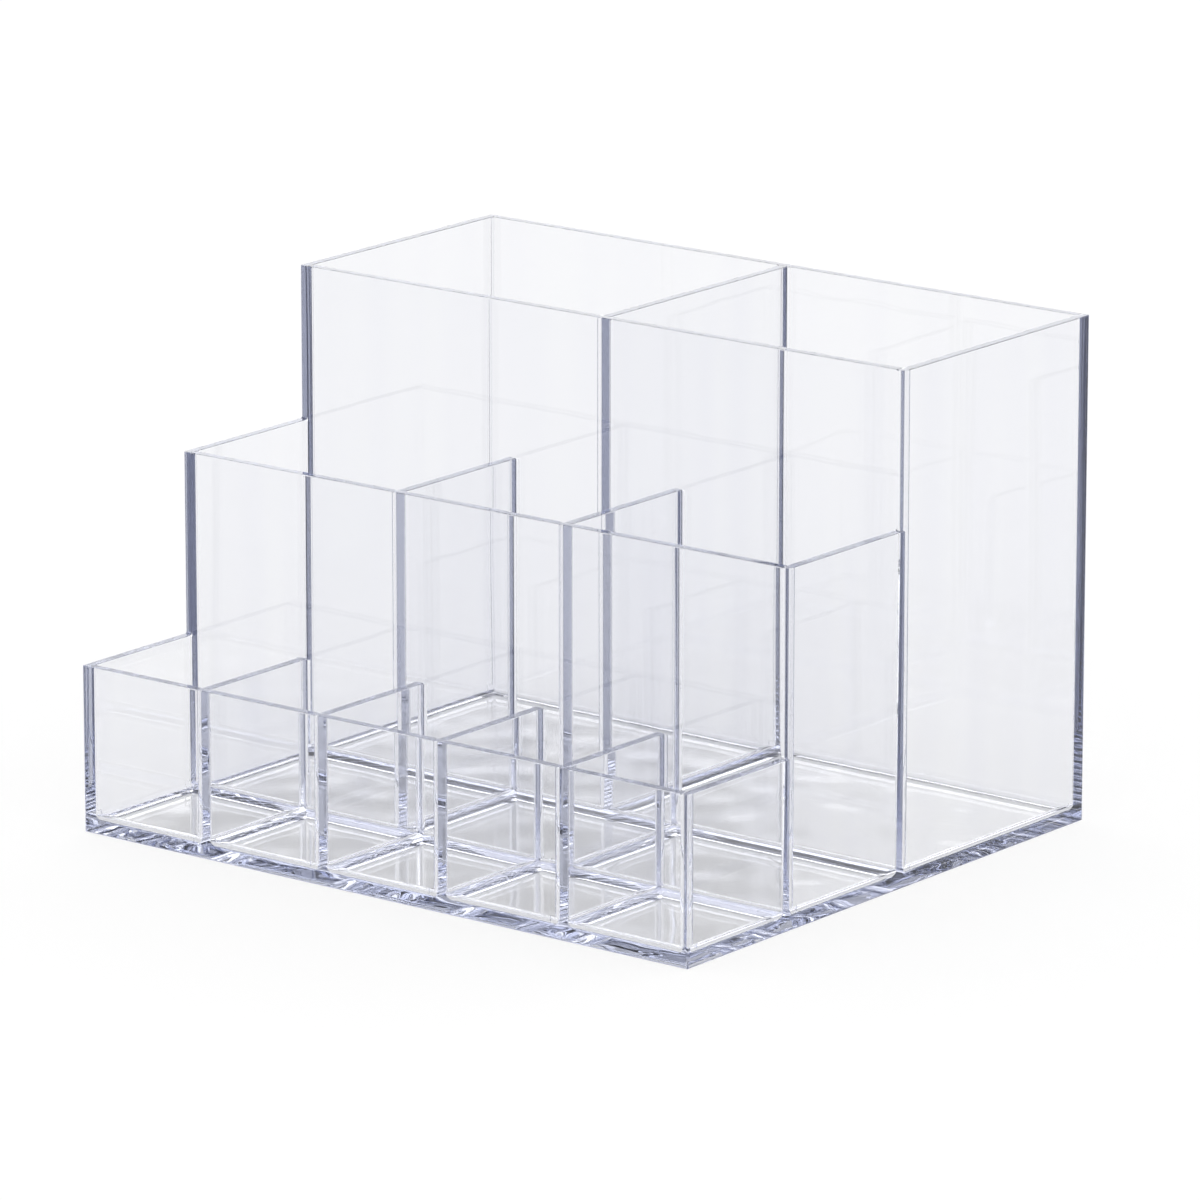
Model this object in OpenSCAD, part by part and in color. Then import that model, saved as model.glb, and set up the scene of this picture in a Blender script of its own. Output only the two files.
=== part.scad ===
// Clear vanity organizer with three stepped rows of compartments.
// Every wall is a panel of its own. Its foot and ends are flared, and sit in
// shallow grooves, so that the bonded tray has round pocket corners throughout.
// Millimetres, Z up, the front faces -Y, the origin is the middle of the underside.

/* [Overall size] */
// Width from side to side
overall_w = 234; // [210:1:270]
// Depth from front to back
overall_d = 200; // [180:1:230]

/* [Rows] */
// Depth of the front row, with its front wall
front_row_d = 48.5; // [42:0.5:56]
// Depth of the middle row, with its front wall
middle_row_d = 56.5; // [48:0.5:64]
// Height of the front row
front_h = 53; // [44:1:62]
// Height of the middle row
middle_h = 111; // [98:1:120]
// Height of the rear row
rear_h = 160; // [146:1:180]

/* [Compartments] */
// Clear width of the narrow compartment in the middle row
narrow_cell_w = 61.5; // [52:0.5:72]
// How far the rear divider stands right of the middle
rear_divider_shift = 2.5; // [-8:0.5:8]

/* [Plastic] */
// Thickness of every wall and divider
wall_t = 3; // [2.7:0.1:3.6]
// Thickness of the base plate
floor_t = 3.5; // [3:0.1:5]

/* [Radii] */
// Radius inside the pockets, along the floor
floor_r = 3; // [1.5:0.1:3.4]
// Radius inside the pockets, at their upright corners
pocket_r = 1; // [0.6:0.1:1.4]
// Radius of the outer upright corners
outer_r = 0.8; // [0.5:0.1:2.4]
// Radius where a side panel steps up to the next row
step_r = 0.8; // [0.5:0.1:3]
// Radius along the rims
rim_r = 0.3; // [0.2:0.1:1.2]
// Radius under the edge of the base plate
underside_r = 0.5; // [0.3:0.1:1.2]

/* [Joints] */
// Depth of the grooves that seat the panels
groove_depth = 0.5; // [0.3:0.1:0.7]
// Thickness of the clear cement between two panels
cement_t = 0.04; // [0.02:0.01:0.08]

/* [Hidden] */
$fn = 48;
// Overrun of every cut past the face that it opens
over = 1;

// Outer faces of the cross walls and the inner faces of the side panels
front_y = -overall_d / 2;
middle_y = front_y + front_row_d;
rear_y = middle_y + middle_row_d;
back_y = overall_d / 2 - wall_t;
inner_x = overall_w / 2 - wall_t;

// Underside of the panels, which stand in the grooves of the base plate
seat_z = floor_t - groove_depth + cement_t;
// Length of a panel's end inside its groove
tongue = groove_depth - cement_t;
// Half the width of a panel over the flares of its foot, and of its ends
foot_half = wall_t / 2 + floor_r;
flare_half = wall_t / 2 + pocket_r;
// Height at which the flare of a foot ends
foot_top = floor_t + floor_r;

// Centre lines of the dividers, with five equal compartments in the front row
front_cells = 5;
front_pitch = (overall_w - wall_t) / front_cells;
front_divider_xs = [for (i = [1:front_cells - 1]) (i - front_cells / 2) * front_pitch];
middle_divider_x = (narrow_cell_w + wall_t) / 2;
middle_divider_xs = [-middle_divider_x, middle_divider_x];
rear_divider_xs = [rear_divider_shift];

// Each row: inner face of its front wall, inner face of its rear wall, height, dividers
FRONT = [front_y + wall_t, middle_y, front_h, front_divider_xs];
MIDDLE = [middle_y + wall_t, rear_y, middle_h, middle_divider_xs];
REAR = [rear_y + wall_t, back_y, rear_h, rear_divider_xs];
NO_ROW = [];

module clear_plastic() {
    color([0.84, 0.87, 0.94], 0.35) children();
}

module flip(x = false, y = false) {
    mirror([x ? 1 : 0, 0, 0]) mirror([0, y ? 1 : 0, 0]) children();
}

// Runs a section drawn as X and Z along Y
module along_y(y0, y1) {
    translate([0, y1, 0]) rotate([90, 0, 0]) linear_extrude(y1 - y0) children();
}

// Runs a section drawn as Y and Z along X
module along_x(x0, x1) {
    translate([x0, 0, 0]) rotate([90, 0, 90]) linear_extrude(x1 - x0) children();
}

// Box between two corners
module box(low, high) {
    translate(low) cube(high - low);
}

// Fills a square corner at 0, 0 with a concave radius
module fillet_2d(r) {
    difference() {
        square(r);
        translate([r, r]) circle(r);
    }
}

// Rectangle from 0, 0 with two round corners at its far Y end
module round_end_2d(w, h, r) {
    square([w, h - r]);
    translate([r, 0]) square([w - 2 * r, h]);
    for (x = [r, w - r]) translate([x, h - r]) circle(r);
}

// Rounds the upright pocket corner at 0, 0 that opens towards +X and +Y, up to
// the rim's own radius, and mitres the floor radius of its two walls
module corner_flare(h) {
    translate([0, 0, seat_z]) linear_extrude(h - rim_r - seat_z) fillet_2d(pocket_r);
    along_y(0, floor_r) foot_flare();
    along_x(0, floor_r) foot_flare();
}

// Section of a panel centred on 0 from its seat to its rim
module panel_section(h) {
    translate([-wall_t / 2, seat_z]) round_end_2d(wall_t, h - seat_z, rim_r);
}

// Section of the flare of a foot, from the face of its panel
module foot_flare() {
    translate([0, floor_t]) fillet_2d(floor_r);
    translate([0, seat_z]) square([floor_r, floor_t - seat_z]);
}

// Half section of a foot that flares towards +X from the middle of a panel
module foot_section() {
    translate([wall_t / 2, 0]) foot_flare();
    translate([0, seat_z]) square([wall_t / 2, floor_t - seat_z]);
}

// Divider of a row, centred on x, with its ends in the grooves of the cross walls
module divider(row, x) {
    y0 = row[0];
    y1 = row[1];
    h = row[2];
    top = h - rim_r;
    translate([x, 0, 0]) {
        along_y(y0 + cement_t, y1 - cement_t) panel_section(h);
        box([-wall_t / 2, y0 - tongue, seat_z], [wall_t / 2, y1 + tongue, top]);
        for (end = [[flare_half, top], [foot_half, foot_top]]) {
            box([-end[0], y0 - tongue, seat_z], [end[0], y0, end[1]]);
            box([-end[0], y1, seat_z], [end[0], y1 + tongue, end[1]]);
        }
        for (left = [false, true]) flip(x = left) {
            along_y(y0, y1) foot_section();
            translate([wall_t / 2, y0, 0]) corner_flare(h);
            translate([wall_t / 2, y1, 0]) flip(y = true) corner_flare(h);
        }
    }
}

// Room for the ends of a row's dividers in the faces of its cross walls
module divider_grooves(row) {
    reach = floor_r + over;
    for (x = row[3], end = [[flare_half, row[2] - rim_r], [foot_half, foot_top]]) {
        half = end[0] + cement_t;
        top = end[1] + cement_t;
        box([x - half, row[0] - groove_depth, -over], [x + half, row[0] + reach, top]);
        box([x - half, row[1] - reach, -over], [x + half, row[1] + groove_depth, top]);
    }
}

// Foot, corner flares and tongues of a cross wall on the side of one pocket row,
// for a wall whose face lies on X and whose pockets open towards +Y
module wall_pocket_side(h) {
    translate([0, -wall_t / 2, 0]) along_x(-inner_x, inner_x) foot_section();
    for (left = [false, true]) flip(x = left) {
        translate([inner_x, 0, 0]) flip(x = true) corner_flare(h);
        box([inner_x, -wall_t / 2, seat_z], [inner_x + tongue, pocket_r, h - rim_r]);
        box([inner_x, -wall_t / 2, seat_z], [inner_x + tongue, floor_r, foot_top]);
    }
}

// Cross wall with its outer face at y, between the row in front and the row behind
module cross_wall(y, h, row_in_front, row_behind) {
    difference() {
        union() {
            translate([0, y + wall_t / 2, 0])
                along_x(-inner_x + cement_t, inner_x - cement_t) panel_section(h);
            box([-inner_x - tongue, y, seat_z], [inner_x + tongue, y + wall_t, h - rim_r]);
            if (row_in_front != NO_ROW)
                translate([0, y, 0]) flip(y = true) wall_pocket_side(row_in_front[2]);
            if (row_behind != NO_ROW)
                translate([0, y + wall_t, 0]) wall_pocket_side(row_behind[2]);
        }
        if (row_in_front != NO_ROW) divider_grooves(row_in_front);
        if (row_behind != NO_ROW) divider_grooves(row_behind);
    }
}

// Groove for the end of a cross wall in the inner face of the right side panel
module wall_groove(y, h, row_in_front, row_behind) {
    x0 = inner_x - floor_r - over;
    x1 = inner_x + groove_depth;
    box([x0, y - cement_t, -over], [x1, y + wall_t + cement_t, h - rim_r + cement_t]);
    if (row_in_front != NO_ROW)
        for (end = [[pocket_r, row_in_front[2] - rim_r], [floor_r, foot_top]])
            box([x0, y - end[0] - cement_t, -over], [x1, y + wall_t, end[1] + cement_t]);
    if (row_behind != NO_ROW)
        for (end = [[pocket_r, row_behind[2] - rim_r], [floor_r, foot_top]])
            box([x0, y, -over], [x1, y + wall_t + end[0] + cement_t, end[1] + cement_t]);
}

// One tier of the right side panel: upright and rim edges round, from y to the back
module side_tier(y, h) {
    length = overall_d / 2 - y;
    intersection() {
        translate([overall_w / 2 - wall_t / 2, 0, 0]) along_y(y, overall_d / 2) panel_section(h);
        translate([0, 0, seat_z]) linear_extrude(h - seat_z) {
            translate([inner_x, y + outer_r]) square([wall_t, length - 2 * outer_r]);
            translate([inner_x, y]) square([wall_t - outer_r, length]);
            for (round_y = [y + outer_r, overall_d / 2 - outer_r])
                translate([overall_w / 2 - outer_r, round_y]) circle(outer_r);
        }
    }
}

// Concave radius from a flat rim up to the tier behind it, with its root in both
module step_section() {
    fillet_2d(step_r);
    translate([-rim_r, -rim_r]) square([rim_r + step_r, rim_r]);
    translate([-rim_r, 0]) square([rim_r, step_r]);
}

// Runs that radius on the rim at height h, round the upright edge of the tier at y
module step_fillet(y, h) {
    edge_x = overall_w / 2 - outer_r;
    intersection() {
        box([inner_x + rim_r, y - step_r, h - rim_r],
            [overall_w / 2 - rim_r, y + outer_r, h + step_r]);
        union() {
            along_x(inner_x, edge_x) translate([y, h]) flip(x = true) step_section();
            translate([edge_x, y + outer_r, h]) rotate_extrude()
                translate([outer_r, 0]) step_section();
        }
    }
}

module right_side_panel() {
    difference() {
        union() {
            side_tier(front_y, front_h);
            side_tier(middle_y, middle_h);
            side_tier(rear_y, rear_h);
            step_fillet(middle_y, front_h);
            step_fillet(rear_y, middle_h);
            translate([overall_w / 2 - wall_t / 2, 0, 0]) flip(x = true)
                along_y(front_y + outer_r, overall_d / 2 - outer_r) foot_section();
        }
        wall_groove(front_y, front_h, NO_ROW, FRONT);
        wall_groove(middle_y, middle_h, FRONT, MIDDLE);
        wall_groove(rear_y, rear_h, MIDDLE, REAR);
        wall_groove(back_y, rear_h, REAR, NO_ROW);
    }
}

// Floor of each pocket of a row, raised between the grooves of the panels
module pocket_floors(row) {
    inset = floor_r + cement_t;
    lows = concat([-inner_x], [for (x = row[3]) x + wall_t / 2]);
    highs = concat([for (x = row[3]) x - wall_t / 2], [inner_x]);
    for (i = [0:len(lows) - 1])
        box([lows[i] + inset, row[0] + inset, floor_t - 2 * groove_depth],
            [highs[i] - inset, row[1] - inset, floor_t]);
}

// Width w of the plate's edge section, round along its underside
module plate_section(w) {
    translate([-w / 2, floor_t - groove_depth]) mirror([0, 1])
        round_end_2d(w, floor_t - groove_depth, underside_r);
}

module base_plate() {
    intersection() {
        along_y(-overall_d / 2, overall_d / 2) plate_section(overall_w);
        along_x(-overall_w / 2, overall_w / 2) plate_section(overall_d);
        linear_extrude(floor_t) {
            square([overall_w - 2 * outer_r, overall_d], center = true);
            square([overall_w, overall_d - 2 * outer_r], center = true);
            for (x = [-1, 1], y = [-1, 1])
                translate([x * (overall_w / 2 - outer_r), y * (overall_d / 2 - outer_r)])
                    circle(outer_r);
        }
    }
    for (row = [FRONT, MIDDLE, REAR]) pocket_floors(row);
}

clear_plastic() base_plate();
clear_plastic() flip(x = true) right_side_panel();  // left_side_panel
clear_plastic() right_side_panel();
clear_plastic() cross_wall(front_y, front_h, NO_ROW, FRONT);  // front_wall
clear_plastic() cross_wall(middle_y, middle_h, FRONT, MIDDLE);  // middle_row_wall
clear_plastic() cross_wall(rear_y, rear_h, MIDDLE, REAR);  // rear_row_wall
clear_plastic() cross_wall(back_y, rear_h, REAR, NO_ROW);  // back_wall
clear_plastic() divider(FRONT, front_divider_xs[0]);  // front_divider_1
clear_plastic() divider(FRONT, front_divider_xs[1]);  // front_divider_2
clear_plastic() divider(FRONT, front_divider_xs[2]);  // front_divider_3
clear_plastic() divider(FRONT, front_divider_xs[3]);  // front_divider_4
clear_plastic() divider(MIDDLE, middle_divider_xs[0]);  // middle_divider_left
clear_plastic() divider(MIDDLE, middle_divider_xs[1]);  // middle_divider_right
clear_plastic() divider(REAR, rear_divider_xs[0]);  // rear_divider
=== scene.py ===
# Clear vanity organizer on a plain white floor, seen from the photograph's side.
import math

import bpy
from mathutils import Matrix, Vector
from mathutils.bvhtree import BVHTree


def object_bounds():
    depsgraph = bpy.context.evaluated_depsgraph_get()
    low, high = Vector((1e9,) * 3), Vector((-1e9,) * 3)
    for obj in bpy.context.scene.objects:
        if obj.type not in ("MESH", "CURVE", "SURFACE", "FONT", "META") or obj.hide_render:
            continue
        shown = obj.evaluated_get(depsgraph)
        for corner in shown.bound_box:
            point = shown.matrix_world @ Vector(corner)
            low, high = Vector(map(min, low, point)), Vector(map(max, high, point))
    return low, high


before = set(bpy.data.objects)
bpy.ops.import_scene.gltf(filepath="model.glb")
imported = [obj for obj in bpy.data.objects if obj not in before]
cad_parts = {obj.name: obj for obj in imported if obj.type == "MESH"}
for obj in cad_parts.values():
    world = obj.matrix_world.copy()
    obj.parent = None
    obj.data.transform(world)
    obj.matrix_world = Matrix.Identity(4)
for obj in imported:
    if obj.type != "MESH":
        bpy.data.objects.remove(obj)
cad_low, cad_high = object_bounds()

# Camera: a long lens, right of the front and a little above
CAMERA_AZIMUTH = math.radians(38.16)
CAMERA_ELEVATION = math.radians(14.71)
CAMERA_DISTANCE = 2.720
CAMERA_LENS = 266.8
SENSOR_WIDTH = 36.0
CAMERA_REACH = 100.0
# How far the photograph's middle lies from the object's, along the picture's own axes
FRAME_RIGHT = 0.0047
FRAME_UP = -0.0078

# Clear plastic: index of refraction, the share of light that each colour keeps, and how strongly the
# upright panels take the rest, for each metre. Light runs the long way through the base plate, which
# is clearer
IOR = 1.5
PLASTIC_TINT = (0.65, 0.67, 0.75)
PANEL_DENSITY = 33.0
PLATE_DENSITY = 16.0
PLATE = "base_plate"
# Slow waves of its polished faces: their height, the width of one, and how much longer it is upwards
WAVE_HEIGHT = 0.00009
WAVE_WIDTH = 0.018
WAVE_LENGTHENING = 6.0
# Faint upright darker streaks at random in its colour: their tone, the width of one, how much longer it is
# upwards, and the share of the noise where a streak starts and is full
STREAK_TONE = (0.988, 0.988, 0.994, 1.0)
STREAK_WIDTH = 0.012
STREAK_LENGTHENING = 30.0
STREAK_START_SHARE = 0.4
STREAK_FULL_SHARE = 0.65

# Panels are bonded with clear cement of the plastic's own index, so light goes straight through their seats
CEMENTED_IOR = 1.0
CEMENT = "cement"
# Widest cement gap between two faces, how far in from its corners a face is tested, and where a test starts
CEMENT_REACH = 0.00007
CORNER_INSET = 0.1
START_SHARE = 0.01

# Floor: its half width, how far it lies below the object, its paint, and how much of its own white
# shows to the camera and through or on the plastic, the rest being what light and shadow make of it
FLOOR_HALF = 20.0
FLOOR_DROP = 0.0002
FLOOR_PAINT = (0.95, 0.95, 0.95, 1.0)
WHITE_SEEN = 0.8
WHITE_SEEN_THROUGH = 0.75
# Cool white of the floor as the plastic shows it
WHITE_THROUGH = (0.935, 0.938, 0.953, 1.0)

# Studio dome: degrees above the floor and strength there. Two bright bands run all round, with a calmer
# one between them, a dark one above and plain light overhead
DOME = (
    (0.0, 0.6), (4.0, 2.3), (14.3, 2.3), (15.0, 1.1), (20.0, 1.1),
    (21.5, 3.3), (34.0, 3.3), (40.0, 0.1), (60.0, 0.1), (66.0, 0.9),
)
DOME_TOP = 3.3
# Height in degrees at which the dome ends, straight overhead
OVERHEAD = 90.0
# Dark flags that give clear edges their lines: first and last azimuth, first and last height and soft edge
# in degrees, and strength. Azimuths run from +Y towards +X
FLAGS = (
    (-60.0, -37.0, 15.9, 21.0, 0.4, 0.3),
    (-150.0, -134.0, 4.0, 25.0, 1.0, 0.1),
)

WHITE = (1.0, 1.0, 1.0, 1.0)
# Light goes on inside the clear panels for as long as it shows
BOUNCES = 128


def grey(level):
    return (level, level, level, 1.0)


# One step of arithmetic in a node tree, on numbers or other nodes' outputs
def maths(tree, operation, *terms):
    node = tree.nodes.new("ShaderNodeMath")
    node.operation = operation
    for socket, term in zip(node.inputs, terms):
        if isinstance(term, (int, float)):
            socket.default_value = term
        else:
            tree.links.new(term, socket)
    return node.outputs[0]


# Material with an empty node tree
def new_material(name):
    material = bpy.data.materials.new(name)
    material.use_nodes = True
    material.node_tree.nodes.clear()
    return material, material.node_tree


# Smooth noise whose cells are this wide across and this much longer upwards
def upright_noise(tree, width, lengthening):
    place = tree.nodes.new("ShaderNodeTexCoord")
    stretch = tree.nodes.new("ShaderNodeMapping")
    stretch.inputs["Scale"].default_value = (1 / width, 1 / width, 1 / (width * lengthening))
    tree.links.new(place.outputs["Object"], stretch.inputs["Vector"])
    noise = tree.nodes.new("ShaderNodeTexNoise")
    noise.inputs["Scale"].default_value = 1.0
    noise.inputs["Detail"].default_value = 0.0
    tree.links.new(stretch.outputs["Vector"], noise.inputs["Vector"])
    return noise.outputs["Fac"]


# Clear plastic that waves and streaks mark faintly, and that lets light straight through cemented faces
def clear_plastic(name, density):
    material, tree = new_material(name)
    output = tree.nodes.new("ShaderNodeOutputMaterial")
    shader = tree.nodes.new("ShaderNodeBsdfPrincipled")
    shader.inputs["Roughness"].default_value = 0.0
    shader.inputs["Transmission Weight"].default_value = 1.0

    relief = tree.nodes.new("ShaderNodeBump")
    relief.inputs["Distance"].default_value = WAVE_HEIGHT
    tree.links.new(upright_noise(tree, WAVE_WIDTH, WAVE_LENGTHENING), relief.inputs["Height"])
    tree.links.new(relief.outputs[0], shader.inputs["Normal"])

    streaks = tree.nodes.new("ShaderNodeMapRange")
    streaks.inputs["From Min"].default_value = STREAK_START_SHARE
    streaks.inputs["From Max"].default_value = STREAK_FULL_SHARE
    tree.links.new(upright_noise(tree, STREAK_WIDTH, STREAK_LENGTHENING), streaks.inputs["Value"])
    tone = tree.nodes.new("ShaderNodeMix")
    tone.data_type = "RGBA"
    tone.inputs["A"].default_value = WHITE
    tone.inputs["B"].default_value = STREAK_TONE
    tree.links.new(streaks.outputs[0], tone.inputs["Factor"])
    tree.links.new(tone.outputs["Result"], shader.inputs["Base Color"])

    cement = tree.nodes.new("ShaderNodeAttribute")
    cement.attribute_name = CEMENT
    ior = tree.nodes.new("ShaderNodeMapRange")
    ior.inputs["To Min"].default_value = IOR
    ior.inputs["To Max"].default_value = CEMENTED_IOR
    tree.links.new(cement.outputs["Fac"], ior.inputs["Value"])
    tree.links.new(ior.outputs[0], shader.inputs["IOR"])

    volume = tree.nodes.new("ShaderNodeVolumeAbsorption")
    volume.inputs["Color"].default_value = (*PLASTIC_TINT, 1.0)
    volume.inputs["Density"].default_value = density
    tree.links.new(shader.outputs[0], output.inputs["Surface"])
    tree.links.new(volume.outputs[0], output.inputs["Volume"])
    return material


# White floor that still takes the object's shadow
def white_floor():
    material, tree = new_material("white_floor")
    output = tree.nodes.new("ShaderNodeOutputMaterial")
    lit = tree.nodes.new("ShaderNodeBsdfDiffuse")
    lit.inputs["Color"].default_value = FLOOR_PAINT
    glow = tree.nodes.new("ShaderNodeEmission")
    ray = tree.nodes.new("ShaderNodeLightPath").outputs
    through = maths(tree, "MAXIMUM", ray["Is Transmission Ray"], ray["Is Glossy Ray"])
    share_through = maths(tree, "MULTIPLY", through, WHITE_SEEN_THROUGH)
    share = maths(tree, "MULTIPLY_ADD", ray["Is Camera Ray"], WHITE_SEEN, share_through)
    tone = tree.nodes.new("ShaderNodeMix")
    tone.data_type = "RGBA"
    tone.inputs["A"].default_value = WHITE_THROUGH
    tone.inputs["B"].default_value = WHITE
    tree.links.new(ray["Is Camera Ray"], tone.inputs["Factor"])
    tree.links.new(tone.outputs["Result"], glow.inputs["Color"])
    mix = tree.nodes.new("ShaderNodeMixShader")
    tree.links.new(share, mix.inputs["Fac"])
    tree.links.new(lit.outputs[0], mix.inputs[1])
    tree.links.new(glow.outputs[0], mix.inputs[2])
    tree.links.new(mix.outputs[0], output.inputs["Surface"])
    return material


def make_camera():
    back = Vector((
        math.sin(CAMERA_AZIMUTH) * math.cos(CAMERA_ELEVATION),
        -math.cos(CAMERA_AZIMUTH) * math.cos(CAMERA_ELEVATION),
        math.sin(CAMERA_ELEVATION),
    ))
    right = Vector((math.cos(CAMERA_AZIMUTH), math.sin(CAMERA_AZIMUTH), 0.0))
    up = back.cross(right)
    data = bpy.data.cameras.new("camera")
    data.lens = CAMERA_LENS
    data.sensor_width = SENSOR_WIDTH
    data.sensor_fit = "HORIZONTAL"
    data.clip_end = CAMERA_REACH
    camera = bpy.data.objects.new("camera", data)
    bpy.context.scene.collection.objects.link(camera)
    middle = (cad_low + cad_high) / 2
    place = middle + back * CAMERA_DISTANCE + right * FRAME_RIGHT + up * FRAME_UP
    turn = Matrix((right, up, back)).transposed().to_4x4()
    camera.matrix_world = Matrix.Translation(place) @ turn
    bpy.context.scene.camera = camera


def make_floor():
    mesh = bpy.data.meshes.new("floor")
    corners = [(-1, -1), (1, -1), (1, 1), (-1, 1)]
    mesh.from_pydata([(x * FLOOR_HALF, y * FLOOR_HALF, 0) for x, y in corners], [], [(0, 1, 2, 3)])
    mesh.materials.append(white_floor())
    floor = bpy.data.objects.new("floor", mesh)
    floor.location.z = -FLOOR_DROP
    bpy.context.scene.collection.objects.link(floor)


# Colour of the dome by height in degrees, as a share of its brightest
def dome_colour(tree, height):
    share = maths(tree, "DIVIDE", height, OVERHEAD)
    ramp = tree.nodes.new("ShaderNodeValToRGB")
    ramp.color_ramp.interpolation = "EASE"
    stops = ramp.color_ramp.elements
    stops.remove(stops[1])
    for index, (degrees, strength) in enumerate(DOME):
        stop = stops.new(degrees / OVERHEAD) if index else stops[0]
        stop.color = grey(strength / DOME_TOP)
    tree.links.new(share, ramp.inputs["Fac"])
    return ramp.outputs["Color"]


# From none to one where a value crosses an edge, or from one to none where the softness is negative
def soft_edge(tree, value, edge, softness):
    ease = tree.nodes.new("ShaderNodeMapRange")
    ease.interpolation_type = "SMOOTHSTEP"
    ease.inputs["From Min"].default_value = edge - softness
    ease.inputs["From Max"].default_value = edge + softness
    tree.links.new(value, ease.inputs["Value"])
    return ease.outputs[0]


# One from a low edge to a high one, and none outside them
def between(tree, value, low, high, softness):
    above = soft_edge(tree, value, low, softness)
    below = soft_edge(tree, value, high, -softness)
    return maths(tree, "MULTIPLY", above, below)


def make_studio_light():
    world = bpy.data.worlds.new("studio")
    bpy.context.scene.world = world
    world.use_nodes = True
    tree = world.node_tree
    direction = tree.nodes.new("ShaderNodeSeparateXYZ")
    tree.links.new(tree.nodes.new("ShaderNodeTexCoord").outputs["Generated"], direction.inputs[0])
    turn = maths(tree, "ARCTAN2", direction.outputs["X"], direction.outputs["Y"])
    azimuth = maths(tree, "DEGREES", turn)
    height = maths(tree, "DEGREES", maths(tree, "ARCSINE", direction.outputs["Z"]))
    colour = dome_colour(tree, height)
    for first_azimuth, last_azimuth, lowest, highest, softness, strength in FLAGS:
        across = between(tree, azimuth, first_azimuth, last_azimuth, softness)
        upright = between(tree, height, lowest, highest, softness)
        flag = tree.nodes.new("ShaderNodeMix")
        flag.data_type = "RGBA"
        flag.inputs["B"].default_value = grey(strength / DOME_TOP)
        tree.links.new(colour, flag.inputs["A"])
        tree.links.new(maths(tree, "MULTIPLY", across, upright), flag.inputs["Factor"])
        colour = flag.outputs["Result"]
    background = tree.nodes["Background"]
    background.inputs["Strength"].default_value = DOME_TOP
    tree.links.new(colour, background.inputs["Color"])


# Every panel's faces in one tree that rays can be cast into
def all_panels(nodes):
    vertices, polygons = [], []
    for node in nodes:
        first = len(vertices)
        vertices += [v.co.copy() for v in node.data.vertices]
        polygons += [[first + v for v in polygon.vertices] for polygon in node.data.polygons]
    return BVHTree.FromPolygons(vertices, polygons)


# True where the whole face lies against another panel's face, across the cement
def is_cemented(face, mesh, panels):
    corners = [mesh.vertices[v].co for v in face.vertices]
    for corner in corners + [face.center]:
        start = corner.lerp(face.center, CORNER_INSET) + face.normal * CEMENT_REACH * START_SHARE
        if panels.ray_cast(start, face.normal, CEMENT_REACH)[0] is None:
            return False
    return True


def dress_panels(nodes):
    panel_plastic = clear_plastic("clear_plastic", PANEL_DENSITY)
    plate_plastic = clear_plastic("clear_plate_plastic", PLATE_DENSITY)
    panels = all_panels(nodes.values())
    for name, node in nodes.items():
        mesh = node.data
        mesh.materials.clear()
        mesh.materials.append(plate_plastic if name == PLATE else panel_plastic)
        cement = mesh.attributes.new(CEMENT, "FLOAT", "FACE")
        for face in mesh.polygons:
            cement.data[face.index].value = 1.0 if is_cemented(face, mesh, panels) else 0.0


dress_panels(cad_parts)
make_camera()
make_floor()
make_studio_light()

scene = bpy.context.scene
scene.view_settings.view_transform = "Standard"
scene.cycles.max_bounces = BOUNCES
scene.cycles.transmission_bounces = BOUNCES
scene.cycles.glossy_bounces = BOUNCES
scene.cycles.transparent_max_bounces = BOUNCES
